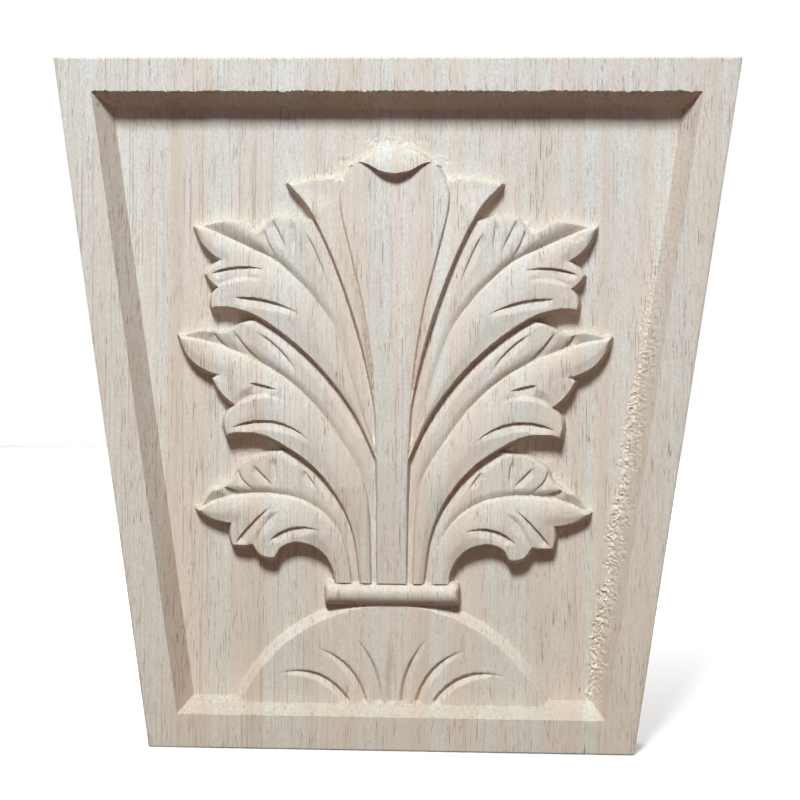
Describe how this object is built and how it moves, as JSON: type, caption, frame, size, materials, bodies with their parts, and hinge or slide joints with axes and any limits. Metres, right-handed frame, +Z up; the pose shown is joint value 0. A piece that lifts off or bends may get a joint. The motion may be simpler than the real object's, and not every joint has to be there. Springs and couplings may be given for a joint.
{
  "type": "carved wood applique panel",
  "caption": "Tapered flat-backed wood board with a raised rim and a sunk field, carved in relief with an acanthus spray tied above a low mound.",
  "frame": {"origin": "centre of the flat back face", "axes": "+Y out of the back, so the carving faces -Y; +X to the right and +Z up as it hangs, wide end up"},
  "size_m": [0.2372, 0.02, 0.24],
  "materials": {
    "wood": "unfinished pale hardwood, planed and carved, with open pores"
  },
  "bodies": {
    "root": {"carved_panel": "wood"}
  },
  "joints": []
}
